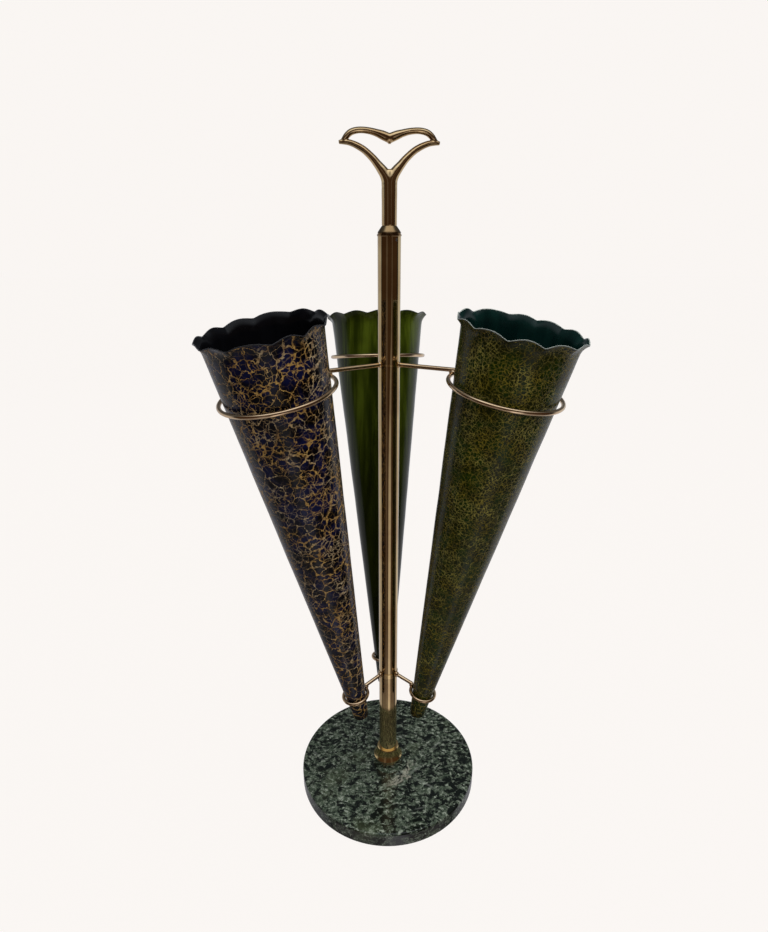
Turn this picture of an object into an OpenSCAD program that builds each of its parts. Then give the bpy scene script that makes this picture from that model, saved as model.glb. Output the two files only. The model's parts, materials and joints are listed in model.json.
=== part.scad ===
// Umbrella stand: three loose lacquered cones in brass wire rings, carried by
// radial arms on a brass post with a loop handle and a round marble base.
// Millimetres. +Z is up, the origin is on the floor under the post's centre.

/* [Base] */
// Diameter of the marble disc
base_d = 221; // [160:1:300]
// Thickness of the marble disc
base_t = 20; // [16:1:40]
// Rounding of the disc's top and bottom edges
base_edge_r = 2.5; // [1:0.5:5]
// Thickness of the felt glued under the disc
felt_t = 2; // [1:0.5:4]
// How far the felt stays in from the disc's edge
felt_inset = 7; // [3:1:15]

/* [Post] */
// Outside diameter of the post tube
post_d = 22; // [16:0.5:32]
// Wall of the post tube
post_wall = 1; // [0.8:0.1:2]
// Height of the post tube's top end above the marble
post_top_h = 637; // [600:1:800]
// Diameter of the threaded rod that holds the base to the post
stud_d = 12; // [8:1:12]
// Distance across the flats of the hexagonal nut under the post
foot_nut_af = 24; // [22:1:34]
// Height of the hexagonal nut under the post
foot_nut_h = 7; // [5:1:14]
// Diameter of the bell collar at its lower lip
bell_d = 36; // [32:1:46]
// Height of the bell collar
bell_h = 17; // [10:1:24]
// Length of the plug brazed into each end of the tube
plug_l = 24; // [16:1:34]

/* [Handle] */
// Width of the loop handle from tip to tip
handle_w = 91; // [80:1:120]
// Height of the handle from its seat on the ferrule to the top of its wings
handle_h = 79.3; // [74:0.1:95]
// Thickness of the handle casting from front to back
handle_t = 9; // [7:0.5:12]
// Thickness of the handle's bars where the fingers go round them
bar_t = 5; // [4:0.5:6]
// Diameter of the handle's round stem
stem_d = 14.2; // [12:0.1:16]
// Diameter of the bead on the ferrule between the tube and the stem
ferrule_d = 23.2; // [20:0.1:34]
// Diameter of the stud that joins the handle to the ferrule
handle_stud_d = 6; // [4:1:8]
// Diameter of the set screw that locks the ferrule in the tube
set_screw_d = 3; // [2:0.5:3]
// Direction of the set screw around the post, in degrees
set_screw_angle = 306; // [0:1:359]

/* [Arms and rings] */
// Diameter of the brass rod that the arms are cut from
rod_d = 4.4; // [3:0.1:6]
// Diameter of the brass wire that the rings are bent from
wire_d = 4.2; // [2.5:0.1:5]
// Radius of the upper rings, to the middle of the wire
upper_ring_r = 53.9; // [52:0.1:60]
// Radius of the lower rings, to the middle of the wire
lower_ring_r = 14.5; // [13:0.1:20]
// Height of the upper rings' centres above the marble
upper_ring_h = 504.3; // [420:0.1:560]
// Height of the lower rings' centres above the marble
lower_ring_h = 127; // [100:1:180]
// Height of the upper arms on the post, above the marble
upper_arm_h = 518.4; // [440:0.1:580]
// Height of the lower arms on the post, above the marble
lower_arm_h = 140; // [120:1:200]
// Directions of the left, right and back arms around the post, in degrees
arm_angles = [210, 328, 92];

/* [Cones] */
// Length of the left and right cones along their centre lines
cone_l = 480; // [420:1:560]
// How much shorter the back cone is cut than the other two
back_trim = 12; // [0:1:30]
// Outside radius of a cone at its tip
tip_r = 8.8; // [6:0.1:11]
// Widening of a cone's radius for each millimetre of its length
taper = 0.0963; // [0.09:0.0001:0.1]
// Thickness of the cones' sheet metal
sheet_t = 0.8; // [0.6:0.1:1.5]
// Angle at which the cones lean out from the post, in degrees
lean = 11.2; // [9:0.1:14]
// Distance from the post's centre to a cone's centre line at the marble's level
foot_r = 21.8; // [18:0.1:30]
// How far the lip flares out beyond the cone's wall
lip_out = 4; // [2:0.5:7]
// Height of the flared lip
lip_h = 8; // [5:0.5:14]
// Number of staves that a cone's wall is modelled in, one to each scallop of its lip
staves = 12; // [8:1:16]

/* [Clearances] */
// Gap between a cone's wall and the lower ring that it rests in
seat_gap = 0.3; // [0.2:0.1:1]
// Gap around threads, plugs and rods that fit inside one another
fit_gap = 0.05; // [0.02:0.01:0.1]
// How deep the rings sink into the braze on the arms
braze_sink = 0.2; // [0.1:0.05:0.5]
// Slit between neighbouring staves of a cone's wall, in degrees round the cone
stave_gap = 0.1; // [0.05:0.05:0.3]
// How far the upper arms run on past their rings' wire
upper_arm_past = 2; // [0:0.5:3]
// How far short of the middle of their rings' wire the lower arms end
lower_arm_short = 0.6; // [0.5:0.1:1.5]

/* [Hidden] */
$fn = 64;
LEFT = 0;
RIGHT = 1;
BACK = 2;

// Heights of the stack, from the floor up
marble_z = felt_t + base_t;
tube_z = marble_z + foot_nut_h;
tube_top_z = marble_z + post_top_h;
tube_bore_r = post_d / 2 - post_wall;

// Washer and thin nut in the recess under the marble
washer_t = 2.5;
washer_d = stud_d * 2.8;
nut_t = stud_d / 2;
nut_af = stud_d * 1.58;
recess_depth = washer_t + nut_t + 0.5;
recess_top = felt_t + recess_depth;
recess_d = washer_d + 3;
stud_bottom = recess_top - washer_t - nut_t;

// Ferrule and handle
bead_h = 4;
cone_h = 5;
seat_z = tube_top_z + bead_h + cone_h;
handle_stud_depth = 18;
set_screw_z = tube_top_z - 3;
set_screw_l = 7;

// Braze rings around the post where the arms go in
braze_out = 0.6;
lower_braze_h = rod_d + 1.4;
upper_braze_h = 1.6;

// Where a rod stops inside the tube
rod_in = tube_bore_r - 3;

// A cone's centre line, as radius and height, and the rings that lie across it
function axis_r(h) = foot_r + h * tan(lean);
function ring_inner(h, r) = [axis_r(h) - r * cos(lean), marble_z + h + r * sin(lean)];
brazed = (rod_d + wire_d) / 2 - braze_sink;
function arm_end(h, r) = ring_inner(h, r) + brazed * [sin(lean), cos(lean)];

// Distance along a cone from its tip to the lower ring that carries it
flank = atan(taper);
seat_r = lower_ring_r - (wire_d / 2 + seat_gap) / cos(flank);
seat_l = (seat_r - tip_r) / taper + (wire_d / 2 + seat_gap) * sin(flank);
cap_t = 1.2;

function cone_length(side) = side == BACK ? cone_l - back_trim : cone_l;
function wall_r(l) = tip_r + taper * l;

// Point on a quadratic curve, and a run of points along one
function curve_at(a, b, c, t) = a * (1 - t) * (1 - t) + b * 2 * t * (1 - t) + c * t * t;
function curve(a, b, c, n = 8) = [for (i = [0 : n]) curve_at(a, b, c, i / n)];
function mirrored(pts) = concat(pts, [for (i = [len(pts) - 1 : -1 : 0]) [-pts[i][0], pts[i][1]]]);

// ---- shared shapes ----

// Disc with rounded top and bottom edges, standing on z = 0
module rounded_disc(d, t, r) {
    cylinder(d = d - 2 * r, h = t, $fn = 128);
    translate([0, 0, r]) cylinder(d = d, h = t - 2 * r, $fn = 128);
    for (z = [r, t - r])
        translate([0, 0, z]) rotate_extrude($fn = 128) translate([d / 2 - r, 0]) circle(r, $fn = 32);
}

// Flat ring
module washer(d, bore, t) {
    difference() {
        cylinder(d = d, h = t);
        translate([0, 0, -1]) cylinder(d = bore, h = t + 2);
    }
}

// Hexagonal nut with a round bore
module hex_nut(af, bore, t) {
    difference() {
        cylinder(d = af / cos(30), h = t, $fn = 6);
        translate([0, 0, -1]) cylinder(d = bore, h = t + 2);
    }
}

// Moves a shape to one side's cone, at a height on its centre line
module on_cone_line(side, h) {
    rotate([0, 0, arm_angles[side]])
        translate([axis_r(h), 0, marble_z + h])
            rotate([0, lean, 0])
                children();
}

// Rod from inside the post to a ring, given the arm's height on the post and how far it
// runs on past the ring's wire
module rod(side, post_h, h, r, past, extra = 0) {
    end = arm_end(h, r);
    run = end[0] - post_d / 2;
    drop = atan((marble_z + post_h - end[1]) / run);
    start_z = marble_z + post_h + (post_d / 2 - rod_in) * tan(drop);
    rotate([0, 0, arm_angles[side]])
        translate([rod_in, 0, start_z])
            rotate([0, 90 + drop, 0])
                cylinder(d = rod_d + extra, h = (end[0] + past - rod_in) / cos(drop), $fn = 32);
}

module upper_rod(side, extra = 0) {
    rod(side, upper_arm_h, upper_ring_h, upper_ring_r, upper_arm_past, extra);
}

module lower_rod(side, extra = 0) {
    rod(side, lower_arm_h, lower_ring_h, lower_ring_r, -lower_arm_short, extra);
}

module wire_ring(r) {
    rotate_extrude($fn = 96) translate([r, 0]) circle(d = wire_d, $fn = 32);
}

// Band of braze around the post, open where the three rods go through it
module braze_ring(h, t) {
    difference() {
        translate([0, 0, marble_z + h - t / 2])
            washer(post_d + 2 * braze_out, post_d, t);
        children();
    }
}

// Thin conical shell with a flared lip, its tip end at z = 0, as staves side by side
module cone_shell(l) {
    step = 360 / staves;
    lip_z = l - lip_h;
    outer = curve([wall_r(lip_z), lip_z], [wall_r(l - lip_h / 3), l - lip_h / 3],
                  [wall_r(l) + lip_out, l], 6);
    inner = [for (p = outer) [p[0] - sheet_t, p[1]]];
    for (i = [0 : staves - 1])
        rotate([0, 0, i * step])
            rotate_extrude(angle = step - stave_gap, $fn = 96)
                polygon(concat([[tip_r, 0]], outer,
                               [for (i = [len(inner) - 1 : -1 : 0]) inner[i]],
                               [[tip_r - sheet_t, 0]]));
}

module cone_at_rest(side) {
    on_cone_line(side, lower_ring_h)
        translate([0, 0, -seat_l])
            children();
}

// ---- base and post ----

module marble_base() {
    color("darkslategray")
        difference() {
            translate([0, 0, felt_t]) rounded_disc(base_d, base_t, base_edge_r);
            cylinder(d = stud_d + 1, h = marble_z + 1);
            cylinder(d = recess_d, h = recess_top);
        }
}

module felt_disc() {
    color("darkgreen")
        cylinder(d = base_d - 2 * felt_inset, h = felt_t, $fn = 128);
}

module base_washer() {
    color("silver")
        translate([0, 0, recess_top - washer_t])
            washer(washer_d, stud_d + 0.6, washer_t);
}

module base_nut() {
    color("silver")
        translate([0, 0, stud_bottom])
            hex_nut(nut_af, stud_d + 2 * fit_gap, nut_t);
}

module base_stud() {
    color("gray")
        translate([0, 0, stud_bottom])
            cylinder(d = stud_d, h = tube_z + plug_l - 2 - stud_bottom);
}

module foot_nut() {
    color("goldenrod")
        translate([0, 0, marble_z])
            hex_nut(foot_nut_af, stud_d + 2 * fit_gap, foot_nut_h);
}

// Bell collar that hides the joint between the tube and its nut
module foot_bell() {
    lip_r = bell_d / 2;
    neck_r = post_d / 2 + 2.6;
    bore_r = post_d / 2 + fit_gap;
    flank_pts = curve([lip_r, 3], [neck_r + 1.5, bell_h * 0.4], [neck_r, bell_h - 1], 8);
    color("goldenrod")
        translate([0, 0, tube_z])
            rotate_extrude()
                polygon(concat([[bore_r, 0], [lip_r - 1, 0], [lip_r, 1]], flank_pts,
                               [[neck_r - 0.6, bell_h], [bore_r, bell_h]]));
}

module foot_plug() {
    color("goldenrod")
        translate([0, 0, tube_z])
            washer(2 * (tube_bore_r - fit_gap), stud_d + 2 * fit_gap, plug_l);
}

module post_tube() {
    color("goldenrod")
        difference() {
            translate([0, 0, tube_z])
                washer(post_d, 2 * tube_bore_r, tube_top_z - tube_z);
            for (side = [LEFT : BACK]) {
                upper_rod(side, 2 * fit_gap);
                lower_rod(side, 2 * fit_gap);
            }
            rotate([0, 0, set_screw_angle])
                translate([tube_bore_r - 2, 0, set_screw_z])
                    rotate([0, 90, 0])
                        cylinder(d = set_screw_d + 2 * fit_gap, h = post_wall + 4, $fn = 24);
        }
}

module lower_braze_ring() {
    color("darkgoldenrod")
        braze_ring(lower_arm_h, lower_braze_h)
            for (side = [LEFT : BACK])
                lower_rod(side, 2 * fit_gap);
}

module upper_braze_ring() {
    color("darkgoldenrod")
        braze_ring(upper_arm_h, upper_braze_h)
            for (side = [LEFT : BACK])
                upper_rod(side, 2 * fit_gap);
}

// ---- ferrule and handle ----

// Turned piece with a spigot in the tube, a bead on its end and a cone up to the stem
module ferrule() {
    spigot_r = tube_bore_r - fit_gap;
    bead_r = ferrule_d / 2;
    color("goldenrod")
        difference() {
            translate([0, 0, tube_top_z])
                rotate_extrude()
                    polygon([[handle_stud_d / 2 + fit_gap, -plug_l], [spigot_r, -plug_l],
                             [spigot_r, 0], [bead_r - 0.6, 0], [bead_r, 0.6], [bead_r, 1.6],
                             [bead_r - 0.9, 2.2], [bead_r - 0.5, 2.8], [bead_r - 0.9, bead_h],
                             [stem_d / 2, bead_h + cone_h],
                             [handle_stud_d / 2 + fit_gap, bead_h + cone_h]]);
            rotate([0, 0, set_screw_angle])
                translate([post_d / 2 - set_screw_l, 0, set_screw_z])
                    rotate([0, 90, 0])
                        cylinder(d = set_screw_d + 2 * fit_gap, h = set_screw_l, $fn = 24);
        }
}

module set_screw() {
    color("dimgray")
        rotate([0, 0, set_screw_angle])
            translate([post_d / 2 - set_screw_l + 0.2, 0, set_screw_z])
                rotate([0, 90, 0])
                    cylinder(d = set_screw_d, h = set_screw_l - 0.6, $fn = 24);
}

module handle_stud() {
    color("gray")
        translate([0, 0, seat_z - handle_stud_depth])
            cylinder(d = handle_stud_d, h = 2 * handle_stud_depth, $fn = 32);
}

// One half of the handle's outline: stem, arm sweeping out to the tip, wing back to the middle
function handle_outline() =
    let (w = handle_w / 2, top = seat_z + handle_h, s = stem_d / 2)
    concat([[0, top - 59], [s, top - 59], [s, top - 51]],
           curve([s, top - 51], [w * 0.24, top - 32], [w * 0.6, top - 18.5], 8),
           curve([w * 0.6, top - 18.5], [w * 0.8, top - 12.5], [w, top - 11.5], 5),
           curve([w * 0.985, top - 10], [w * 0.85, top - 0.5], [w * 0.5, top], 7),
           curve([w * 0.5, top], [w * 0.2, top], [0, top - 5], 5));

// The opening between the wings and the V of the arms
function loop_outline() =
    let (w = handle_w / 2, top = seat_z + handle_h, corner = w * 0.78)
    concat([[0, top - 34]],
           curve([0, top - 34], [w * 0.13, top - 32.5], [w * 0.32, top - 20.5], 5),
           curve([w * 0.32, top - 20.5], [w * 0.5, top - 11.5], [corner, top - 9], 5),
           curve([corner, top - 9], [corner + 1, top - 6.5], [w * 0.62, top - bar_t + 0.6], 5),
           curve([w * 0.62, top - bar_t + 0.6], [w * 0.3, top - bar_t], [0, top - bar_t - 8], 6));

module handle() {
    color("goldenrod")
        difference() {
            union() {
                rotate([90, 0, 0])
                    linear_extrude(height = handle_t, center = true)
                        difference() {
                            polygon(mirrored(handle_outline()));
                            polygon(mirrored(loop_outline()));
                        }
                translate([0, 0, seat_z])
                    cylinder(d = stem_d, h = handle_h - 55, $fn = 48);
                translate([0, 0, seat_z + handle_h - 55])
                    cylinder(d1 = stem_d, d2 = handle_t, h = 14, $fn = 48);
            }
            translate([0, 0, seat_z - 1])
                cylinder(d = handle_stud_d + 2 * fit_gap, h = handle_stud_depth + 2, $fn = 32);
        }
}

// ---- arms and rings ----

module arm_and_ring_colour() {
    color("tan") children();
}

module upper_arm_left() {
    arm_and_ring_colour() upper_rod(LEFT);
}

module upper_arm_right() {
    arm_and_ring_colour() upper_rod(RIGHT);
}

module upper_arm_back() {
    arm_and_ring_colour() upper_rod(BACK);
}

module upper_ring_left() {
    arm_and_ring_colour() on_cone_line(LEFT, upper_ring_h) wire_ring(upper_ring_r);
}

module upper_ring_right() {
    arm_and_ring_colour() on_cone_line(RIGHT, upper_ring_h) wire_ring(upper_ring_r);
}

module upper_ring_back() {
    arm_and_ring_colour() on_cone_line(BACK, upper_ring_h) wire_ring(upper_ring_r);
}

module lower_arm_left() {
    arm_and_ring_colour() lower_rod(LEFT);
}

module lower_arm_right() {
    arm_and_ring_colour() lower_rod(RIGHT);
}

module lower_arm_back() {
    arm_and_ring_colour() lower_rod(BACK);
}

module lower_ring_left() {
    arm_and_ring_colour() on_cone_line(LEFT, lower_ring_h) wire_ring(lower_ring_r);
}

module lower_ring_right() {
    arm_and_ring_colour() on_cone_line(RIGHT, lower_ring_h) wire_ring(lower_ring_r);
}

module lower_ring_back() {
    arm_and_ring_colour() on_cone_line(BACK, lower_ring_h) wire_ring(lower_ring_r);
}

// ---- cones ----

// Disc pressed into a cone's tip, a little tapered to match the wall
module tip_cap() {
    translate([0, 0, 0.5])
        cylinder(r = tip_r - sheet_t - fit_gap, h = cap_t);
}

module cone_left() {
    color("midnightblue") cone_at_rest(LEFT) cone_shell(cone_length(LEFT));
}

module cone_right() {
    color("darkolivegreen") cone_at_rest(RIGHT) cone_shell(cone_length(RIGHT));
}

module cone_back() {
    color("darkgreen") cone_at_rest(BACK) cone_shell(cone_length(BACK));
}

module tip_cap_left() {
    color("black") cone_at_rest(LEFT) tip_cap();
}

module tip_cap_right() {
    color("black") cone_at_rest(RIGHT) tip_cap();
}

module tip_cap_back() {
    color("black") cone_at_rest(BACK) tip_cap();
}

marble_base();
felt_disc();
base_washer();
base_nut();
base_stud();
foot_nut();
foot_bell();
foot_plug();
post_tube();
lower_braze_ring();
upper_braze_ring();
ferrule();
set_screw();
handle_stud();
handle();
upper_arm_left();
upper_arm_right();
upper_arm_back();
upper_ring_left();
upper_ring_right();
upper_ring_back();
lower_arm_left();
lower_arm_right();
lower_arm_back();
lower_ring_left();
lower_ring_right();
lower_ring_back();
cone_left();
cone_right();
cone_back();
tip_cap_left();
tip_cap_right();
tip_cap_back();
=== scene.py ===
import json
import math

import bmesh
import bpy
from mathutils import Matrix, Vector


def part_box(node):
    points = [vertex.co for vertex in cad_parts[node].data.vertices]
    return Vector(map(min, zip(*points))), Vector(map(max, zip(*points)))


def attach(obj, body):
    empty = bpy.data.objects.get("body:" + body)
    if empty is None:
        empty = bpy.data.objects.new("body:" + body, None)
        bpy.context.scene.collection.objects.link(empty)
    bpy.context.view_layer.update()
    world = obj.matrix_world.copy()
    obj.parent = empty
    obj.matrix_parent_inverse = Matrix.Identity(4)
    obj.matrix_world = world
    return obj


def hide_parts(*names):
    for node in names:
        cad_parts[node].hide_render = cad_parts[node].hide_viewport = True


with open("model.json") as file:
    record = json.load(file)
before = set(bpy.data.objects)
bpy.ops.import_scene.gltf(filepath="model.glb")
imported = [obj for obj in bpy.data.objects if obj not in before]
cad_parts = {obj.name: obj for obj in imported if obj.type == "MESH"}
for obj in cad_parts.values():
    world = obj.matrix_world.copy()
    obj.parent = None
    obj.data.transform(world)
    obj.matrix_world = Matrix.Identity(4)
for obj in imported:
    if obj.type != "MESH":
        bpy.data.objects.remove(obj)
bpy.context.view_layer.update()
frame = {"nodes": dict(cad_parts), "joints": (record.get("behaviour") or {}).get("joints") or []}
nodes = frame["nodes"]


# ---- Camera ----
# A person standing close in front of the stand, holding a wide lens a little above the
# handle and looking down, so that the cones spread and the base looks small.

eye_distance = 0.6052
eye_height = 0.6554
look_down = math.radians(21.29)
eye_swing = math.radians(4.3)
tilt_of_hand = math.radians(0.15)
lens_mm = 23.33
sensor_mm = 36
sideways_shift = -0.0050
upward_shift = 0.0107

eye = Vector((-eye_distance * math.sin(eye_swing), -eye_distance * math.cos(eye_swing), eye_height))
looking = Vector((
    math.sin(eye_swing) * math.cos(look_down),
    math.cos(eye_swing) * math.cos(look_down),
    -math.sin(look_down),
))
camera = bpy.data.objects.new("camera", bpy.data.cameras.new("camera"))
camera.matrix_world = (
    Matrix.Translation(eye)
    @ looking.to_track_quat("-Z", "Y").to_matrix().to_4x4()
    @ Matrix.Rotation(tilt_of_hand, 4, "Z")
)
camera.data.lens = lens_mm
camera.data.sensor_width = sensor_mm
camera.data.shift_x = sideways_shift
camera.data.shift_y = upward_shift
camera.data.clip_start = 0.01
bpy.context.scene.collection.objects.link(camera)
bpy.context.scene.camera = camera


# ---- Marble base ----
# A turned disc of dark green serpentine marble with its edges eased and the whole
# surface polished. Black-green grains lie in a grey-green ground with a few pale veins.

def connect(tree, socket, value):
    """Gives a socket a link or a plain value."""
    if isinstance(value, bpy.types.NodeSocket):
        tree.links.new(value, socket)
    else:
        socket.default_value = value


def add(tree, kind, inputs=None, **settings):
    """A new node, with its settings and its inputs filled in."""
    made = tree.nodes.new(kind)
    for name, value in settings.items():
        setattr(made, name, value)
    for name, value in (inputs or {}).items():
        connect(tree, made.inputs[name], value)
    return made


def maths(tree, operation, *values, clamp=False):
    """The result of one sum on numbers or sockets."""
    made = add(tree, "ShaderNodeMath", operation=operation, use_clamp=clamp)
    for slot, value in enumerate(values):
        connect(tree, made.inputs[slot], value)
    return made.outputs[0]


def remap(tree, value, low, high, to_low=0.0, to_high=1.0):
    """A number carried smoothly from one range to another and held at its ends."""
    made = add(tree, "ShaderNodeMapRange", {"Value": value, "From Min": low, "From Max": high,
                                            "To Min": to_low, "To Max": to_high},
               interpolation_type="SMOOTHSTEP")
    return made.outputs["Result"]


def blend(tree, share, first, second, mode="MIX"):
    """Two colours mixed by a share."""
    made = add(tree, "ShaderNodeMix", data_type="RGBA", blend_type=mode)
    for slot, value in ((0, share), (6, first), (7, second)):
        if slot and not isinstance(value, bpy.types.NodeSocket):
            value = (*value, 1.0)
        connect(tree, made.inputs[slot], value)
    return made.outputs[2]


def noise(tree, place, scale, detail=4.0, roughness=0.5, distortion=0.0):
    """Soft cloudy values from 0 to 1, with features 1 / scale metres wide."""
    made = add(tree, "ShaderNodeTexNoise", {"Vector": place, "Scale": scale, "Detail": detail,
                                            "Roughness": roughness, "Distortion": distortion})
    return made.outputs["Fac"]


def stretched(tree, place, along):
    """A place squeezed along x, y and z, so that patterns read from it run long."""
    return add(tree, "ShaderNodeMapping", {"Vector": place, "Scale": along}).outputs["Vector"]


def new_finish(name, **sockets):
    """A material with the constant values of its shader set, its tree, shader and place."""
    material = bpy.data.materials.new(name)
    material.use_nodes = True
    tree = material.node_tree
    shader = tree.nodes["Principled BSDF"]
    for socket, value in sockets.items():
        shader.inputs[socket.replace("_", " ")].default_value = value
    place = tree.nodes.new("ShaderNodeTexCoord").outputs["Object"]
    return material, tree, shader, place


def dress(names, material):
    """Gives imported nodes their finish."""
    for name in names:
        nodes[name].data.materials.clear()
        nodes[name].data.materials.append(material)


def bumped(tree, shader, height, depth, strength=1.0):
    """Raises a surface's relief by a height field, depth metres from 0 to 1."""
    relief = add(tree, "ShaderNodeBump", {"Height": height, "Distance": depth, "Strength": strength})
    connect(tree, shader.inputs["Normal"], relief.outputs["Normal"])


def painted_bell_reflection(tree, place, clots, grain):
    """1 along a painted reflection of the bell: a short pale arc round the post that curves round the near
    right side of the foot.
    """
    spot = add(tree, "ShaderNodeSeparateXYZ", {0: place})
    x, y = spot.outputs["X"], spot.outputs["Y"]
    from_middle = maths(tree, "SQRT", maths(tree, "ADD", maths(tree, "MULTIPLY", x, x),
                                            maths(tree, "MULTIPLY", y, y)))
    reflection_radius = remap(tree, clots, 0.3, 0.7, 0.027, 0.041)
    off_reflection = maths(tree, "ABSOLUTE", maths(tree, "SUBTRACT", from_middle, reflection_radius))
    mirrored_rim = remap(tree, off_reflection, 0.0052, 0.0012, 0.0, 0.9)
    mirrored_rim = maths(tree, "MULTIPLY", mirrored_rim, remap(tree, grain, 0.38, 0.55, 0.45, 1.0))
    mirrored_rim = maths(tree, "MULTIPLY", mirrored_rim, remap(tree, x, -0.004, 0.012))
    return maths(tree, "MULTIPLY", mirrored_rim, remap(tree, y, 0.002, -0.012))


def polished_serpentine():
    """Green marble: black grains, grey-green ground, olive patches, pale veins and a painted reflection of
    the bell.
    """
    dark = (0.0025, 0.0040, 0.0028)
    deep = (0.012, 0.018, 0.012)
    ground = (0.054, 0.070, 0.047)
    pale = (0.23, 0.255, 0.205)
    olive = (0.10, 0.12, 0.06)
    vein = (0.30, 0.32, 0.28)
    bell_reflection_colour = (0.25, 0.245, 0.19)
    material, tree, shader, place = new_finish("polished_serpentine", Specular_IOR_Level=0.4)
    swirl = add(tree, "ShaderNodeTexNoise", {"Vector": place, "Scale": 30.0, "Detail": 3.0})
    drift = add(tree, "ShaderNodeMix", {0: 0.012}, data_type="VECTOR")
    connect(tree, drift.inputs[4], place)
    connect(tree, drift.inputs[5], swirl.outputs["Color"])
    drifted = drift.outputs[1]
    flow = stretched(tree, drifted, (0.8, 1.0, 1.0))
    grain = noise(tree, flow, 290.0, detail=6.0, roughness=0.70, distortion=0.4)
    clots = noise(tree, flow, 140.0, detail=6.0, roughness=0.72, distortion=0.4)
    patches = noise(tree, place, 17.0, detail=2.0)
    body = blend(tree, remap(tree, grain, 0.41, 0.50), deep, ground)
    body = blend(tree, remap(tree, grain, 0.53, 0.62), body, pale)
    shade = maths(tree, "ADD", clots, remap(tree, patches, 0.54, 0.74, 0.0, 0.035))
    body = blend(tree, remap(tree, shade, 0.485, 0.55), body, dark)
    body = blend(tree, remap(tree, patches, 0.30, 0.42, 0.18, 0.0), body, olive)
    veins = add(tree, "ShaderNodeTexVoronoi", {"Vector": flow, "Scale": 17.0}, feature="DISTANCE_TO_EDGE")
    broken = remap(tree, noise(tree, place, 25.0, detail=2.0), 0.54, 0.66, 0.0, 0.22)
    vein_line = maths(tree, "MULTIPLY", remap(tree, veins.outputs["Distance"], 0.030, 0.0), broken)
    body = blend(tree, vein_line, body, vein)
    # Painted reflection: a pale arc in front of the foot where the bell is mirrored in the polished top.
    body = blend(tree, painted_bell_reflection(tree, drifted, clots, grain), body, bell_reflection_colour)
    connect(tree, shader.inputs["Base Color"], body)
    connect(tree, shader.inputs["Roughness"], remap(tree, grain, 0.3, 0.7, 0.12, 0.20))
    return material


dress(["marble_base"], polished_serpentine())


# ---- Felt and the fastening under the base ----
# A disc of dark green wool felt is glued under the marble so that it doesn't scratch a
# floor. Above it, in a recess, a steel washer and thin nut pull the threaded rod down.

def wool_felt():
    """Matted wool, with short fibres lying every way."""
    material, tree, shader, place = new_finish("wool_felt", Roughness=0.95)
    fibres = noise(tree, place, 900.0, detail=5.0, roughness=0.7, distortion=1.5)
    connect(tree, shader.inputs["Base Color"],
            blend(tree, fibres, (0.008, 0.022, 0.012), (0.030, 0.060, 0.034)))
    bumped(tree, shader, fibres, depth=0.0004)
    return material


def plated_steel():
    """Zinc-plated steel with faint tool marks."""
    material, tree, shader, place = new_finish("plated_steel", Metallic=1.0)
    marks = noise(tree, stretched(tree, place, (1.0, 1.0, 12.0)), 260.0, detail=4.0)
    connect(tree, shader.inputs["Base Color"],
            blend(tree, marks, (0.30, 0.30, 0.31), (0.52, 0.52, 0.50)))
    connect(tree, shader.inputs["Roughness"], remap(tree, marks, 0.2, 0.8, 0.24, 0.42))
    bumped(tree, shader, marks, depth=0.00005)
    return material


dress(["felt_disc"], wool_felt())
dress(["base_washer", "base_nut", "base_stud", "handle_stud", "set_screw"], plated_steel())


# ---- Post, foot and ferrule ----
# A drawn brass tube, polished bright, stands on a brass hex nut under a spun bell collar.
# A turned ferrule with a bead closes its top. Handling has left the brass browner in patches, and the
# ferrule's brass is painted darker all over as painted shade.

tarnish = (0.16, 0.09, 0.035)
down_the_tube = (1.0, 1.0, 0.03)
round_the_work = (1.0, 1.0, 6.0)
every_way = (1.0, 1.0, 1.0)


def polished_brass(name, clean, toned, smooth, worn, along):
    """Buffed brass: a clean metal, a browner one where it has toned, and polishing lines."""
    material, tree, shader, place = new_finish(name, Metallic=1.0)
    lines = noise(tree, stretched(tree, place, along), 420.0, detail=5.0, roughness=0.6)
    clouds = noise(tree, place, 24.0, detail=4.0, roughness=0.6)
    specks = noise(tree, place, 700.0, detail=2.0)
    metal = blend(tree, remap(tree, clouds, 0.38, 0.68), clean, toned)
    metal = blend(tree, remap(tree, specks, 0.70, 0.80, 0.0, 0.5), metal, tarnish)
    connect(tree, shader.inputs["Base Color"], metal)
    rubbed = maths(tree, "ADD", remap(tree, lines, 0.3, 0.7, 0.0, worn),
                   remap(tree, clouds, 0.4, 0.7, smooth, smooth + worn))
    connect(tree, shader.inputs["Roughness"], rubbed)
    bumped(tree, shader, lines, depth=0.00002)
    return material


tube_brass = polished_brass(
    "drawn_tube_brass", clean=(0.68, 0.51, 0.26), toned=(0.54, 0.37, 0.19),
    smooth=0.05, worn=0.04, along=down_the_tube)
turned_brass = polished_brass(
    "turned_brass", clean=(0.96, 0.72, 0.36), toned=(0.80, 0.56, 0.26),
    smooth=0.10, worn=0.06, along=round_the_work)
# Painted shade: a darker, browner copy of the turned brass for the ferrule, so that it mirrors less light.
shaded_ferrule_brass = polished_brass(
    "shaded_ferrule_brass", clean=(0.44, 0.31, 0.15), toned=(0.30, 0.19, 0.09),
    smooth=0.08, worn=0.05, along=round_the_work)
dress(["post_tube"], tube_brass)
dress(["foot_bell", "foot_nut", "foot_plug"], turned_brass)
dress(["ferrule"], shaded_ferrule_brass)


# ---- Handle ----
# One brass casting, filed and polished: a round stem opens into two ridged arms, and wings
# come back over them to meet in a beak, so that fingers go through the loop.

cast_brass = polished_brass(
    "cast_brass", clean=(0.74, 0.54, 0.29), toned=(0.50, 0.32, 0.15),
    smooth=0.09, worn=0.05, along=every_way)

mm = 0.001
handle_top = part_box("handle")[1].z
casting_grain = 0.42 * mm
filing_passes = 9

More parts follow.
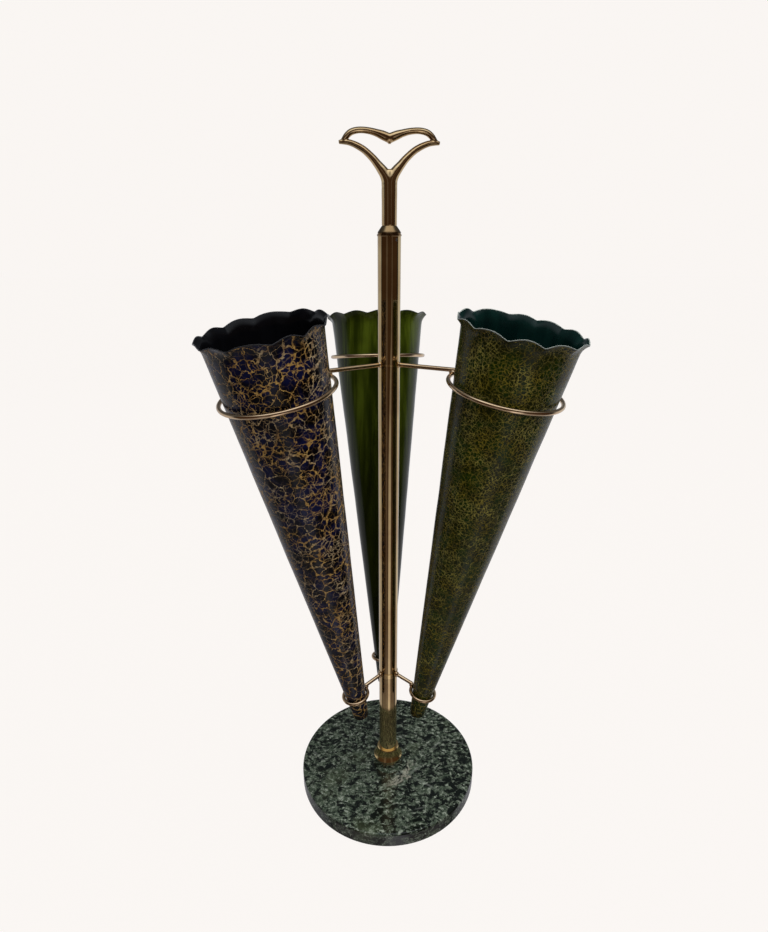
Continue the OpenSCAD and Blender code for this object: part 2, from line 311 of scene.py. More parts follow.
# Each station, in millimetres but for the last: across from the middle, below the top,
# half width, half depth, and roundness, from 2 for round down towards 1 for a diamond
arm_stations = [
    (0.0, 79.3, 7.1, 7.1, 2.0),
    (0.0, 60.0, 7.1, 7.1, 2.0),
    (0.0, 47.0, 7.1, 7.0, 2.0),
    (0.9, 41.5, 6.8, 6.5, 1.9),
    (3.9, 36.5, 5.2, 5.6, 1.75),
    (6.9, 32.6, 4.5, 5.0, 1.85),
    (10.4, 28.6, 3.8, 4.4, 1.75),
    (14.2, 24.3, 3.4, 4.1, 1.7),
    (18.4, 20.4, 3.15, 3.9, 1.65),
    (22.6, 17.1, 3.0, 3.8, 1.65),
    (27.2, 14.5, 2.85, 3.6, 1.65),
    (31.6, 12.6, 2.65, 3.4, 1.65),
    (36.0, 11.3, 2.45, 3.2, 1.7),
    (41.0, 10.9, 2.15, 2.8, 1.75),
    (44.9, 11.2, 1.55, 2.1, 1.85),
]
wing_stations = [
    (42.2, 10.6, 1.6, 2.1, 1.85),
    (40.4, 9.0, 2.15, 2.7, 1.75),
    (37.8, 6.2, 2.7, 3.3, 1.7),
    (34.2, 3.4, 2.75, 3.5, 1.7),
    (29.6, 1.95, 2.7, 3.6, 1.7),
    (24.2, 1.55, 2.65, 3.7, 1.7),
    (17.6, 2.2, 2.75, 3.8, 1.7),
    (11.6, 3.6, 3.1, 3.9, 1.7),
    (5.8, 5.5, 3.8, 4.1, 1.75),
    (-2.4, 8.7, 4.0, 4.1, 1.9),
]
web_stations = [
    (0.0, 47.0, 7.0, 6.9, 2.0),
    (0.0, 41.0, 6.8, 6.2, 2.0),
    (0.0, 37.4, 5.8, 5.4, 2.0),
    (0.0, 35.0, 4.7, 4.7, 2.0),
    (0.0, 33.2, 3.4, 3.9, 2.0),
    (0.0, 32.2, 2.0, 2.8, 2.0),
]


def on_curve(p, q, r, s, t):
    """The value at t, from 0 to 1, between q and r on a smooth curve from p to s."""
    return 0.5 * (2 * q + (r - p) * t + (2 * p - 5 * q + 4 * r - s) * t * t
                  + (3 * q - p - 3 * r + s) * t ** 3)


def smooth_run(stations, steps):
    """Stations joined by a smooth curve that passes through each of them."""
    run = []
    for i in range(len(stations) - 1):
        a, b, c, d = (stations[min(max(j, 0), len(stations) - 1)] for j in (i - 1, i, i + 1, i + 2))
        for step in range(steps):
            run.append([on_curve(*four, step / steps) for four in zip(a, b, c, d)])
    run.append(list(stations[-1]))
    return run


def ridged_bar(form, stations, side, steps=6, around=28):
    """A solid bar through the stations, between round and diamond-shaped in section."""
    run = smooth_run(stations, steps)
    centres = [Vector((side * s[0] * mm, 0.0, handle_top - s[1] * mm)) for s in run]
    rings = []
    for i, (station, centre) in enumerate(zip(run, centres)):
        ahead = centres[min(i + 1, len(run) - 1)] - centres[max(i - 1, 0)]
        ahead.normalize()
        across = Vector((-ahead.z, 0.0, ahead.x))
        power = 2.0 / station[4]
        ring = []
        for j in range(around):
            turn = 2 * math.pi * j / around
            c, s = math.cos(turn), math.sin(turn)
            x = math.copysign(abs(c) ** power, c) * station[2] * mm
            y = math.copysign(abs(s) ** power, s) * station[3] * mm
            ring.append(form.verts.new(centre + across * x + Vector((0.0, y, 0.0))))
        rings.append(ring)
    for below, above in zip(rings, rings[1:]):
        for j in range(around):
            k = (j + 1) % around
            form.faces.new((below[j], below[k], above[k], above[j]))
    form.faces.new(rings[0])
    form.faces.new(rings[-1])


def settle(piece):
    """Turns a piece and its modifiers into one plain mesh."""
    seen = piece.evaluated_get(bpy.context.evaluated_depsgraph_get())
    mesh = bpy.data.meshes.new_from_object(seen)
    piece.modifiers.clear()
    piece.data = mesh
    return piece


def new_piece(name, form, material):
    """A piece from a finished bmesh, with its faces turned outwards and its finish on."""
    bmesh.ops.recalc_face_normals(form, faces=form.faces)
    mesh = bpy.data.meshes.new(name)
    form.to_mesh(mesh)
    form.free()
    piece = bpy.data.objects.new(name, mesh)
    bpy.context.scene.collection.objects.link(piece)
    mesh.materials.append(material)
    return piece


casting = bmesh.new()
for side in (-1, 1):
    ridged_bar(casting, arm_stations, side)
    ridged_bar(casting, wing_stations, side)
ridged_bar(casting, web_stations, 1)
handle = new_piece("loop_handle", casting, cast_brass)
fused = handle.modifiers.new("fused", "REMESH")
fused.mode = "VOXEL"
fused.voxel_size = casting_grain
fused.use_smooth_shade = True
filed = handle.modifiers.new("filed", "SMOOTH")
filed.factor = 0.5
filed.iterations = filing_passes
settle(handle)
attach(handle, "stand")
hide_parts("handle")


# ---- Arms and rings ----
# Brass rod, brazed through the post, carries rings of brass wire. The wire was left a
# warmer, pinker colour by the torch, and is polished less than the post.

SIDES = ("left", "right", "back")
wire_brass = polished_brass(
    "wire_brass", clean=(0.90, 0.67, 0.42), toned=(0.68, 0.46, 0.27),
    smooth=0.11, worn=0.06, along=every_way)
for side in SIDES:
    for level in ("upper", "lower"):
        dress([f"{level}_arm_{side}", f"{level}_ring_{side}"], wire_brass)
dress(["lower_braze_ring", "upper_braze_ring"], turned_brass)

axes = {joint["child"]: Vector(joint["axis"]) for joint in frame["joints"]}
# Radius of each ring at the middle of its wire, and height where its rod leaves the post
ring_radius = {"upper": 0.0539, "lower": 0.0145}
rod_height = {"upper": 0.5404, "lower": 0.162}
post_radius = 0.011

# Beads at the rings: lift along the cone, distance past the wire's middle, half sizes
ring_beads = {
    "upper": (0.0016, 0.0000, (0.0040, 0.0033, 0.0030)),
    "lower": (0.0018, 0.0010, (0.0030, 0.0029, 0.0030)),
}
# Beads at the post: half sizes
post_beads = {"upper": (0.0018, 0.0030, 0.0030), "lower": (0.0032, 0.0031, 0.0034)}
bead_stand_off = 0.0006
bead_unevenness = 0.0006


def braze_tree():
    """Beads of braze: a ball stood on each point, stretched and turned as the point says."""
    tree = bpy.data.node_groups.new("braze_beads", "GeometryNodeTree")
    face = tree.interface
    face.new_socket("Geometry", in_out="OUTPUT", socket_type="NodeSocketGeometry")
    face.new_socket("Geometry", in_out="INPUT", socket_type="NodeSocketGeometry")
    face.new_socket("Unevenness", in_out="INPUT", socket_type="NodeSocketFloat")
    face.new_socket("Finish", in_out="INPUT", socket_type="NodeSocketMaterial")
    given = tree.nodes.new("NodeGroupInput").outputs
    ball = add(tree, "GeometryNodeMeshUVSphere", {"Segments": 32, "Rings": 20, "Radius": 1.0})
    size = add(tree, "GeometryNodeInputNamedAttribute", {"Name": "bead_size"}, data_type="FLOAT_VECTOR")
    way = add(tree, "GeometryNodeInputNamedAttribute", {"Name": "bead_way"}, data_type="FLOAT_VECTOR")
    turned = add(tree, "FunctionNodeAlignRotationToVector", {"Vector": way.outputs["Attribute"]}, axis="X")
    beads = add(tree, "GeometryNodeInstanceOnPoints", {
        "Points": given["Geometry"], "Instance": ball.outputs["Mesh"],
        "Rotation": turned.outputs[0], "Scale": size.outputs["Attribute"]})
    real = add(tree, "GeometryNodeRealizeInstances", {"Geometry": beads.outputs[0]})
    lumps = add(tree, "ShaderNodeTexNoise", {"Scale": 420.0, "Detail": 1.0})
    lumps = maths(tree, "MULTIPLY", maths(tree, "SUBTRACT", lumps.outputs["Fac"], 0.5), given["Unevenness"])
    outwards = tree.nodes.new("GeometryNodeInputNormal").outputs[0]
    push = add(tree, "ShaderNodeVectorMath", {0: outwards, "Scale": lumps}, operation="SCALE")
    uneven = add(tree, "GeometryNodeSetPosition", {"Geometry": real.outputs[0], "Offset": push.outputs[0]})
    smooth = add(tree, "GeometryNodeSetShadeSmooth", {"Geometry": uneven.outputs[0]})
    coat = add(tree, "GeometryNodeSetMaterial",
               {"Geometry": smooth.outputs[0], "Material": given["Finish"]})
    add(tree, "NodeGroupOutput", {"Geometry": coat.outputs[0]})
    return tree


def grow(name, tree, values, mesh=None):
    """A piece grown by a geometry tree from named values, as a plain mesh."""
    piece = bpy.data.objects.new(name, mesh or bpy.data.meshes.new(name))
    bpy.context.scene.collection.objects.link(piece)
    growth = piece.modifiers.new("growth", "NODES")
    growth.node_group = tree
    for socket in tree.interface.items_tree:
        if socket.in_out == "INPUT" and socket.name in values:
            growth[socket.identifier] = values[socket.name]
    return settle(piece)


beads = []
for side in SIDES:
    axis = axes[f"{side}_cone"]
    radial = Vector((axis.x, axis.y, 0.0)).normalized()
    inward = (axis * radial.dot(axis) - radial).normalized()
    for level, (lift, past, size) in ring_beads.items():
        low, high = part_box(f"{level}_ring_{side}")
        joint = (low + high) / 2 + inward * (ring_radius[level] + past) + axis * lift
        beads.append((joint, radial, size))
        hub = radial * (post_radius + bead_stand_off) + Vector((0.0, 0.0, rod_height[level]))
        beads.append((hub, radial, post_beads[level]))
bead_points = bpy.data.meshes.new("braze_points")
bead_points.from_pydata([place for place, way, size in beads], [], [])
for name, picked in (("bead_way", 1), ("bead_size", 2)):
    marks = bead_points.attributes.new(name, "FLOAT_VECTOR", "POINT")
    for mark, bead in zip(marks.data, beads):
        mark.vector = bead[picked]
braze = grow("braze_beads", braze_tree(),
             {"Unevenness": bead_unevenness, "Finish": wire_brass}, bead_points)
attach(braze, "stand")


# ---- Cones ----
# Three cones rolled from thin sheet steel, each with a lip beaten outwards into twelve
# scallops and lacquered. They stand loose in their rings and lift out.

cone_length = {"left": 0.480, "right": 0.480, "back": 0.468}
tip_radius = 0.0088
taper = 0.0963
sheet = 0.0008
cap_middle = 0.0011
lip_height = 0.011
lip_flare = 0.0040
scallops = 12
scallop_drop = 0.0034
scallop_push = 0.0014
scallop_reach = 0.016
beating = 0.0008
columns = 288
rows = 144
first_cusp = {"left": math.radians(10), "right": math.radians(6), "back": math.radians(17)}


def scalloped_cone_tree():
    """A thin cone with a scalloped lip: a flat grid rolled up, outside, rim and inside."""
    tree = bpy.data.node_groups.new("scalloped_cone", "GeometryNodeTree")
    face = tree.interface
    face.new_socket("Geometry", in_out="OUTPUT", socket_type="NodeSocketGeometry")
    face.new_socket("Geometry", in_out="INPUT", socket_type="NodeSocketGeometry")
    for name in ("Length", "Tip Radius", "Taper", "Sheet", "Lip Height", "Lip Flare",
                 "Scallop Drop", "Scallop Push", "Scallop Reach", "First Cusp", "Beating", "Seed"):
        face.new_socket(name, in_out="INPUT", socket_type="NodeSocketFloat")
    for name in ("Scallops", "Around", "Rows"):
        face.new_socket(name, in_out="INPUT", socket_type="NodeSocketInt")
    for name in ("Foot", "Turned"):
        face.new_socket(name, in_out="INPUT", socket_type="NodeSocketVector")
    for name in ("Outside", "Inside"):
        face.new_socket(name, in_out="INPUT", socket_type="NodeSocketMaterial")
    given = tree.nodes.new("NodeGroupInput").outputs

    def sums(operation, *values, clamp=False):
        return maths(tree, operation, *values, clamp=clamp)

    grid = add(tree, "GeometryNodeMeshGrid", {
        "Size X": 1.0, "Size Y": 1.0,
        "Vertices X": sums("ADD", given["Around"], 1.0),
        "Vertices Y": sums("ADD", given["Rows"], 1.0),
    })
    flat = add(tree, "ShaderNodeSeparateXYZ", {0: tree.nodes.new("GeometryNodeInputPosition").outputs[0]})
    around = sums("MULTIPLY", flat.outputs["X"], 2 * math.pi)
    row = sums("MULTIPLY", sums("ADD", flat.outputs["Y"], 0.5), given["Rows"])
    last_row = sums("SUBTRACT", given["Rows"], 1.0)
    closing = sums("GREATER_THAN", row, sums("ADD", last_row, 0.5))
    share = sums("MULTIPLY", sums("DIVIDE", row, last_row), sums("SUBTRACT", 1.0, closing))
    to_rim = sums("ABSOLUTE", sums("SUBTRACT", sums("MULTIPLY", share, 2.0), 1.0))
    from_rim = sums("MULTIPLY", given["Length"], sums("MULTIPLY", to_rim, to_rim))
    outward = sums("SIGN", sums("SUBTRACT", 0.5, share))

    # Scallops: rounded lobes between cusps that are beaten down and out
    ring_point = add(tree, "ShaderNodeCombineXYZ", {
        "X": sums("COSINE", around), "Y": sums("SINE", around), "Z": given["Seed"]})
    uneven = add(tree, "ShaderNodeTexNoise", {"Vector": ring_point.outputs[0], "Scale": 1.7, "Detail": 1.0})
    uneven = remap(tree, uneven.outputs["Fac"], 0.3, 0.7, 0.65, 1.3)
    wander = add(tree, "ShaderNodeTexNoise", {"Vector": ring_point.outputs[0], "Scale": 0.9, "Detail": 0.0})
    wander = sums("MULTIPLY", sums("SUBTRACT", wander.outputs["Fac"], 0.5), 0.35)
    lobe_turn = sums("MULTIPLY", sums("ADD", sums("SUBTRACT", around, given["First Cusp"]), wander),
                     sums("MULTIPLY", given["Scallops"], 0.5))
    lobe = sums("SINE", lobe_turn)
    lobe = sums("SQRT", sums("ADD", sums("MULTIPLY", lobe, lobe), 0.012))
    cusp = sums("MULTIPLY", sums("SUBTRACT", 1.0, lobe), uneven)
    reach = sums("SUBTRACT", 1.0, sums("DIVIDE", from_rim, given["Scallop Reach"]), clamp=True)
    reach_curve = sums("POWER", reach, 1.6)
    lip = sums("SUBTRACT", 1.0, sums("DIVIDE", from_rim, given["Lip Height"]), clamp=True)
    flare = sums("POWER", lip, 2.0)

    # The sheet's middle line, then half its thickness to one side, rounded at the rim
    height = sums("SUBTRACT", sums("SUBTRACT", given["Length"], from_rim),
                  sums("MULTIPLY", sums("MULTIPLY", given["Scallop Drop"], cusp), reach_curve))
    half_sheet = sums("MULTIPLY", given["Sheet"], 0.5)
    straight_radius = sums("ADD", given["Tip Radius"],
                           sums("MULTIPLY", given["Taper"], sums("SUBTRACT", given["Length"], from_rim)))
    radius = sums("SUBTRACT", straight_radius, half_sheet)
    radius = sums("ADD", radius, sums("MULTIPLY", given["Lip Flare"], flare))
    radius = sums("ADD", radius,
                  sums("MULTIPLY", sums("MULTIPLY", given["Scallop Push"], cusp), reach_curve))
    beaten_at = add(tree, "ShaderNodeCombineXYZ", {
        "X": sums("MULTIPLY", sums("COSINE", around), radius),
        "Y": sums("MULTIPLY", sums("SINE", around), radius),
        "Z": sums("ADD", height, given["Seed"])})
    beaten = add(tree, "ShaderNodeTexNoise", {"Vector": beaten_at.outputs[0], "Scale": 26.0, "Detail": 1.0})
    beaten = sums("MULTIPLY", sums("SUBTRACT", beaten.outputs["Fac"], 0.5), given["Beating"])
    above_ring = sums("SUBTRACT", sums("MULTIPLY", height, 8.0), 0.8, clamp=True)
    radius = sums("ADD", radius, sums("MULTIPLY", beaten, above_ring))
    round_off = sums("SUBTRACT", 1.0, sums("DIVIDE", from_rim, half_sheet), clamp=True)
    round_off = sums("SQRT", sums("SUBTRACT", 1.0, sums("MULTIPLY", round_off, round_off)))
    thick = sums("MULTIPLY", sums("MULTIPLY", half_sheet, round_off), outward)
    slope = sums("ADD", sums("ARCTANGENT", given["Taper"]), sums("MULTIPLY", lip, 0.75))
    radius = sums("ADD", radius, sums("MULTIPLY", thick, sums("COSINE", slope)))
    height = sums("SUBTRACT", height, sums("MULTIPLY", thick, sums("SINE", slope)))
    rolled = add(tree, "ShaderNodeCombineXYZ", {
        "X": sums("MULTIPLY", sums("COSINE", around), radius),
        "Y": sums("MULTIPLY", sums("SINE", around), radius),
        "Z": height})

    # The same sheet laid out flat, in metres, for patterns that follow it
    fan_share = sums("SINE", sums("ARCTANGENT", given["Taper"]))
    to_apex = sums("DIVIDE", straight_radius, fan_share)
    fan_turn = sums("MULTIPLY", around, fan_share)
    laid_flat = add(tree, "ShaderNodeCombineXYZ", {
        "X": sums("MULTIPLY", to_apex, sums("COSINE", fan_turn)),
        "Y": sums("MULTIPLY", to_apex, sums("SINE", fan_turn))})

    marked = add(tree, "GeometryNodeStoreNamedAttribute", {
        "Geometry": grid.outputs["Mesh"], "Name": "from_rim", "Value": from_rim},
        data_type="FLOAT", domain="POINT")
    marked = add(tree, "GeometryNodeStoreNamedAttribute", {
        "Geometry": marked.outputs[0], "Name": "laid_flat", "Value": laid_flat.outputs[0]},
        data_type="FLOAT2", domain="CORNER")
    marked = add(tree, "GeometryNodeStoreNamedAttribute", {
        "Geometry": marked.outputs[0], "Name": "inside", "Value": sums("GREATER_THAN", share, 0.5)},
        data_type="FLOAT", domain="POINT")
    placed = add(tree, "GeometryNodeSetPosition",
                 {"Geometry": marked.outputs[0], "Position": rolled.outputs[0]})
    closed = add(tree, "GeometryNodeMergeByDistance",
                 {"Geometry": placed.outputs[0], "Distance": 0.00001})
    stood = add(tree, "GeometryNodeTransform", {
        "Geometry": closed.outputs[0], "Translation": given["Foot"], "Rotation": given["Turned"]})
    smooth = add(tree, "GeometryNodeSetShadeSmooth", {"Geometry": stood.outputs[0]})
    inner = add(tree, "GeometryNodeInputNamedAttribute", {"Name": "inside"}, data_type="FLOAT")
    real = add(tree, "GeometryNodeRealizeInstances", {"Geometry": smooth.outputs[0]})
    outer_coat = add(tree, "GeometryNodeSetMaterial", {
        "Geometry": real.outputs[0], "Material": given["Outside"]})
    inner_coat = add(tree, "GeometryNodeSetMaterial", {
        "Geometry": outer_coat.outputs[0], "Material": given["Inside"],
        "Selection": sums("GREATER_THAN", inner.outputs["Attribute"], 0.5)})
    add(tree, "NodeGroupOutput", {"Geometry": inner_coat.outputs[0]})
    return tree


def crack_lines(tree, sheet_place, cell, width, soften):
    """1 in the cracks between cells, 0 on the lacquer islands."""
    cells = add(tree, "ShaderNodeTexVoronoi",
                {"Vector": sheet_place, "Scale": 1.0 / cell, "Randomness": 1.0},
                feature="DISTANCE_TO_EDGE", voronoi_dimensions="2D")
    return remap(tree, maths(tree, "MULTIPLY", cells.outputs["Distance"], cell),
                 maths(tree, "ADD", width, soften), width)


def wavy(tree, sheet_place, place, scale, amount):
    """A place pushed about by noise, so that straight edges wander."""
    push = add(tree, "ShaderNodeTexNoise", {"Vector": place, "Scale": scale, "Detail": 2.0})
    centred = add(tree, "ShaderNodeVectorMath", {0: push.outputs["Color"], 1: (0.5, 0.5, 0.5)},
                  operation="SUBTRACT")
    scaled = add(tree, "ShaderNodeVectorMath", {0: centred.outputs[0], "Scale": amount},
                 operation="SCALE")
    moved = add(tree, "ShaderNodeVectorMath", {0: sheet_place, 1: scaled.outputs[0]},
                operation="ADD")
    return moved.outputs[0]


wear_reach = 0.0010


def worn_rim(tree, place, reach):
    """1 where handling has rubbed the lacquer off the edge of the sheet."""
    distance = add(tree, "ShaderNodeAttribute", attribute_name="from_rim").outputs["Fac"]
    ragged = maths(tree, "MULTIPLY", noise(tree, place, 300.0, detail=3.0), reach)
    return remap(tree, maths(tree, "SUBTRACT", distance, ragged), 0.0003, 0.0)


def crackle_lacquer(name, base, island, island_tint, crack, crack_pale, coarse, fine, rim):
    """Dark lacquer that shrank into islands over a gold coat, under a clear gloss."""
    material, tree, shader, place = new_finish(name, Specular_IOR_Level=0.4, IOR=1.33)
    sheet_place = add(tree, "ShaderNodeUVMap", uv_map="laid_flat").outputs["UV"]
    strength = noise(tree, place, 26.0, detail=2.0)
    height = add(tree, "ShaderNodeSeparateXYZ", {0: place}).outputs["Z"]

    # Coarse cracks, bolder towards the tip, and broken where the lacquer held
    bolder = remap(tree, height, 0.17, 0.32, coarse["bold"], 1.0)
    unbroken = remap(tree, noise(tree, place, 130.0, detail=2.0), 0.34, 0.60, -0.1, 1.2)
    width = remap(tree, strength, 0.35, 0.65, coarse["thin"], coarse["wide"])
    width = maths(tree, "MULTIPLY", width, maths(tree, "MULTIPLY", bolder, unbroken))
    bent = wavy(tree, sheet_place, place, scale=90.0, amount=0.011)
    bent = wavy(tree, bent, place, scale=400.0, amount=0.0050)
    big = crack_lines(tree, bent, coarse["cell"], width, coarse["soften"])

    # Fine cracks, in patches, that thin out towards the tip
    width = remap(tree, strength, 0.35, 0.65, fine["thin"], fine["wide"])
    bent = wavy(tree, sheet_place, place, scale=150.0, amount=0.006)
    bent = wavy(tree, bent, place, scale=520.0, amount=0.0030)
    small = crack_lines(tree, bent, fine["cell"], width, fine["soften"])
    patches = remap(tree, noise(tree, place, 34.0, detail=3.0),
                    fine["from"], fine["to"], fine["least"], fine["most"])
    patches = maths(tree, "MULTIPLY", patches, remap(tree, height, 0.12, 0.34, fine["low"], 1.0))
    cracks = maths(tree, "MAXIMUM", big, maths(tree, "MULTIPLY", small, patches))

    # Colours: tinted islands, and gold that pales in places and is worn to its base in others
    tinted = remap(tree, noise(tree, place, 60.0, detail=3.0), 0.40, 0.66)
    islands = blend(tree, tinted, island, island_tint)
    paled = remap(tree, noise(tree, place, 40.0, detail=3.0), 0.42, 0.62)
    golds = blend(tree, paled, crack, crack_pale)
    worn = remap(tree, noise(tree, place, 260.0, detail=3.0), 0.42, 0.66, 0.0, 0.75)
    golds = blend(tree, worn, golds, base)
    coat = blend(tree, cracks, islands, golds)
    coat = blend(tree, worn_rim(tree, place, wear_reach), coat, rim)
    connect(tree, shader.inputs["Base Color"], coat)
    connect(tree, shader.inputs["Roughness"], remap(tree, cracks, 0.0, 1.0, 0.20, 0.45))
    bumped(tree, shader, maths(tree, "SUBTRACT", 1.0, cracks), depth=0.0002, strength=0.6)
    return material


def darker(colour, share):
    """A colour turned down to a share of its brightness."""
    return tuple(share * c for c in colour)


def plain_lacquer(name, colour, streak, rim, roughness=0.10, painted_shade_heights=None):
    """One coat of brushed-on gloss lacquer, with faint runs down the cone, and painted shade towards the
    bottom when heights for it are given.
    """
    material, tree, shader, place = new_finish(name, Specular_IOR_Level=0.35, IOR=1.33)
    runs = noise(tree, stretched(tree, place, (1.0, 1.0, 0.05)), 95.0, detail=4.0)
    clouds = noise(tree, place, 18.0, detail=3.0)
    coat = blend(tree, remap(tree, runs, 0.38, 0.66), colour, streak)
    coat = blend(tree, remap(tree, clouds, 0.45, 0.75, 0.0, 0.6), coat, darker(colour, 0.35))
    # Painted shade: the coat turns darker below the given heights, towards the bottom of the cone.
    if painted_shade_heights:
        low, high = painted_shade_heights
        height = add(tree, "ShaderNodeSeparateXYZ", {0: place}).outputs["Z"]
        coat = blend(tree, remap(tree, height, low, high, 0.85, 0.0), coat, darker(colour, 0.25))
    coat = blend(tree, worn_rim(tree, place, wear_reach), coat, rim)
    connect(tree, shader.inputs["Base Color"], coat)
    connect(tree, shader.inputs["Roughness"], remap(tree, runs, 0.3, 0.7, roughness, roughness + 0.08))
    bumped(tree, shader, clouds, depth=0.0004, strength=0.5)
    return material


black_rim = (0.020, 0.020, 0.022)
grey_rim = (0.20, 0.22, 0.20)
green_rim = (0.02, 0.03, 0.02)
inside_roughness = 0.14

# Coarse and fine cracks, in metres: size of a cell, thinnest and widest half width, and
# the width of their soft edge; then how bold they are at the tip, and where fine ones lie
outside_coats = {
    "left": crackle_lacquer(
        "navy_crackle", base=(0.09, 0.035, 0.010), rim=black_rim,
        island=(0.0010, 0.0008, 0.0016), island_tint=(0.0030, 0.0052, 0.0320),
        crack=(0.45, 0.27, 0.075), crack_pale=(0.43, 0.33, 0.19),
        coarse={"cell": 0.0100, "thin": 0.00020, "wide": 0.00052, "soften": 0.0003, "bold": 1.5},
        fine={"cell": 0.0062, "thin": 0.00002, "wide": 0.00026, "soften": 0.0003,
              "from": 0.42, "to": 0.58, "least": 0.10, "most": 0.75, "low": 0.15}),
    "right": crackle_lacquer(
        "olive_crackle", base=(0.034, 0.028, 0.005), rim=grey_rim,
        island=(0.0100, 0.0125, 0.0006), island_tint=(0.0085, 0.0230, 0.0016),
        crack=(0.18, 0.135, 0.012), crack_pale=(0.27, 0.23, 0.050),
        coarse={"cell": 0.0075, "thin": 0.00004, "wide": 0.00014, "soften": 0.0003, "bold": 3.2},
        fine={"cell": 0.0034, "thin": 0.00002, "wide": 0.00018, "soften": 0.00035,
              "from": 0.35, "to": 0.62, "least": 0.30, "most": 0.95, "low": 0.35}),
    # The back cone's coat is painted darker towards the bottom, as painted shade.
    "back": plain_lacquer(
        "moss_lacquer", colour=(0.017, 0.026, 0.0008), streak=(0.078, 0.106, 0.008),
        rim=green_rim, painted_shade_heights=(0.34, 0.58)),
}
inside_coats = {
    "left": plain_lacquer(
        "black_lacquer", colour=(0.0015, 0.0015, 0.0020), streak=(0.0022, 0.0022, 0.003),
        rim=black_rim, roughness=inside_roughness),
    "right": plain_lacquer(
        "teal_lacquer", colour=(0.0011, 0.0075, 0.0066), streak=(0.002, 0.012, 0.010),
        rim=grey_rim, roughness=inside_roughness),
    "back": plain_lacquer(
        "bottle_lacquer", colour=(0.006, 0.018, 0.006), streak=(0.009, 0.026, 0.008),
        rim=green_rim, roughness=inside_roughness),
}
cone_tree = scalloped_cone_tree()
first_seed = 3.0
for number, side in enumerate(SIDES):
    axis = axes[f"{side}_cone"]
    cap_low, cap_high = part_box(f"tip_cap_{side}")
    foot = (cap_low + cap_high) / 2 - axis * cap_middle
    cone = grow(f"scalloped_cone_{side}", cone_tree, {
        "Length": cone_length[side], "Tip Radius": tip_radius, "Taper": taper, "Sheet": sheet,
        "Lip Height": lip_height, "Lip Flare": lip_flare, "Scallops": scallops,
        "Scallop Drop": scallop_drop, "Scallop Push": scallop_push, "Scallop Reach": scallop_reach,
        "First Cusp": first_cusp[side], "Beating": beating, "Seed": first_seed + number,
        "Around": columns, "Rows": rows,
        "Foot": foot, "Turned": (0.0, math.acos(axis.z), math.atan2(axis.y, axis.x)),
        "Outside": outside_coats[side], "Inside": inside_coats[side],
    })
    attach(cone, f"{side}_cone")
    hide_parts(f"cone_{side}")
    dress([f"tip_cap_{side}"], inside_coats[side])


# ---- Floor, light and background ----
# A pale floor that runs out of sight, in a studio with a soft overhead light, bright walls
# behind and beside the stand and a dark room in front, which the brass and lacquer mirror.

paper_white = (0.955, 0.920, 0.893)
floor_mesh = bpy.data.meshes.new("floor")
reach_out = 12.0
floor_mesh.from_pydata([(-reach_out, -reach_out, 0), (reach_out, -reach_out, 0),
                        (reach_out, reach_out, 0), (-reach_out, reach_out, 0)], [], [(0, 1, 2, 3)])
floor = bpy.data.objects.new("floor", floor_mesh)
bpy.context.scene.collection.objects.link(floor)
paper = bpy.data.materials.new("pale_paper")
paper.use_nodes = True
paper_tree = paper.node_tree
paper_shader = paper_tree.nodes["Principled BSDF"]
paper_shader.inputs["Base Color"].default_value = (0.010, 0.010, 0.010, 1.0)
paper_shader.inputs["Roughness"].default_value = 0.9
paper_shader.inputs["Specular IOR Level"].default_value = 0.0
paper_shader.inputs["Emission Color"].default_value = (*paper_white, 1.0)
paper_shader.inputs["Emission Strength"].default_value = 0.994
floor_mesh.materials.append(paper)
floor.visible_glossy = False
floor.visible_diffuse = False
floor.visible_shadow = False

world = bpy.data.worlds.new("studio")
bpy.context.scene.world = world
world.use_nodes = True
sky = world.node_tree
sky.nodes.clear()
direction = add(sky, "ShaderNodeSeparateXYZ",
                {0: sky.nodes.new("ShaderNodeTexCoord").outputs["Generated"]})
up = direction.outputs["Z"]
flat_length = maths(sky, "SQRT", maths(sky, "SUBTRACT", 1.0001, maths(sky, "MULTIPLY", up, up)))
behind = maths(sky, "DIVIDE", direction.outputs["Y"], flat_length)
across = maths(sky, "DIVIDE", direction.outputs["X"], flat_length)

# Bright walls behind and beside, dimmer above, below and on the left
turned_away = maths(sky, "SUBTRACT", behind, remap(sky, across, 0.3, 0.9, 0.0, 0.10))
walls = maths(sky, "MULTIPLY", remap(sky, turned_away, -0.14, 0.10, 0.0, 0.66),
              remap(sky, up, 0.30, 0.02, 0.14, 1.0))
walls = maths(sky, "MULTIPLY", walls, remap(sky, across, -0.8, 0.8, 0.76, 0.92))
walls = maths(sky, "MULTIPLY", walls, remap(sky, up, -0.80, -0.62, 0.55, 1.0))

# A dark room in front: light on its floor that widens towards the stand, and a doorway
in_front = remap(sky, behind, -0.06, -0.28)
strip_at = remap(sky, up, -0.05, -0.36, 0.42, 0.14)
strip_half = remap(sky, up, -0.05, -0.45, 0.09, 0.36)
off_strip = maths(sky, "ABSOLUTE", maths(sky, "SUBTRACT", across, strip_at))
off_strip = maths(sky, "DIVIDE", off_strip, strip_half)
strip = maths(sky, "MULTIPLY", remap(sky, off_strip, 1.0, 0.35),
              remap(sky, up, -0.02, -0.62, 0.07, 0.60))
off_doorway = maths(sky, "ABSOLUTE", maths(sky, "ADD", across, 0.45))
doorway = remap(sky, off_doorway, 0.16, 0.05, 0.0, 0.07)
near_floor = remap(sky, up, -0.56, -0.76, 0.0, 0.24)
room = maths(sky, "ADD", maths(sky, "ADD", strip, doorway), near_floor)
room = maths(sky, "MULTIPLY", in_front, room)

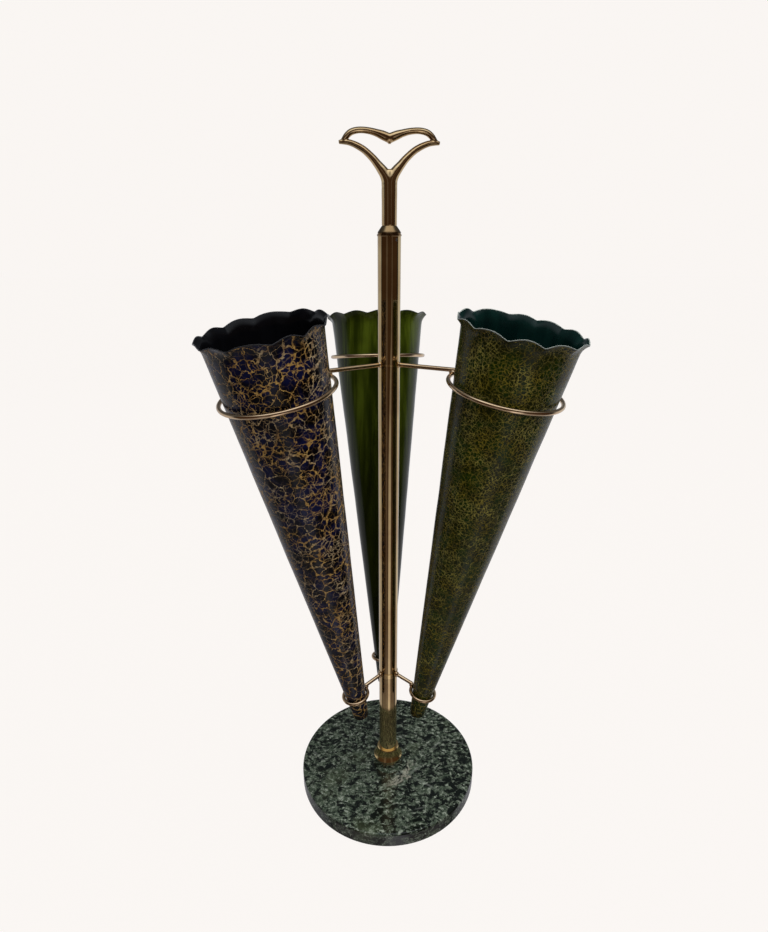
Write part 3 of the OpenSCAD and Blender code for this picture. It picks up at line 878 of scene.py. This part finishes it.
# A bright ceiling, and the colours of the light
ceiling = maths(sky, "MULTIPLY", remap(sky, up, 0.50, 0.92, 0.0, 1.20),
                remap(sky, behind, 0.30, -0.4, 0.08, 1.0))
glow = maths(sky, "ADD", maths(sky, "MAXIMUM", walls, room), ceiling)
grey = add(sky, "ShaderNodeCombineXYZ", {"X": glow, "Y": glow, "Z": glow}).outputs[0]
warm = blend(sky, remap(sky, up, -0.6, 0.4), (0.98, 0.97, 1.02), (0.90, 0.97, 1.06))
lit = blend(sky, 1.0, warm, grey, "MULTIPLY")
dim = blend(sky, in_front, (0.012, 0.012, 0.014), (0.052, 0.030, 0.018))
tint = blend(sky, 1.0, lit, dim, "ADD")
seen_paper = add(sky, "ShaderNodeBackground", {"Color": (*paper_white, 1.0), "Strength": 1.0})
studio = add(sky, "ShaderNodeBackground", {"Color": tint, "Strength": 1.0})
by_ray = add(sky, "ShaderNodeMixShader", {
    0: sky.nodes.new("ShaderNodeLightPath").outputs["Is Camera Ray"],
    1: studio.outputs[0], 2: seen_paper.outputs[0]})
add(sky, "ShaderNodeOutputWorld", {"Surface": by_ray.outputs[0]})


stand_middle = Vector((0.0, 0.0, 0.35))


def softbox(name, place, size, watts):
    """A soft rectangular light that looks at the middle of the stand."""
    light = bpy.data.lights.new(name, "AREA")
    light.shape = "RECTANGLE"
    light.size, light.size_y = size
    light.energy = watts
    lamp = bpy.data.objects.new(name, light)
    aim = stand_middle - Vector(place)
    lamp.matrix_world = Matrix.Translation(place) @ aim.to_track_quat("-Z", "Y").to_matrix().to_4x4()
    lamp.visible_glossy = False
    bpy.context.scene.collection.objects.link(lamp)


softbox("overhead", place=(0.25, -0.35, 2.2), size=(1.4, 1.0), watts=36.0)
softbox("front_fill", place=(0.7, -2.0, 1.6), size=(1.6, 1.0), watts=22.0)
softbox("left_side", place=(-1.9, -0.9, 1.5), size=(0.7, 1.4), watts=3.0)
softbox("back_fill", place=(-0.5, 2.0, 1.5), size=(1.4, 1.0), watts=18.0)

bpy.context.scene.view_settings.view_transform = "Standard"
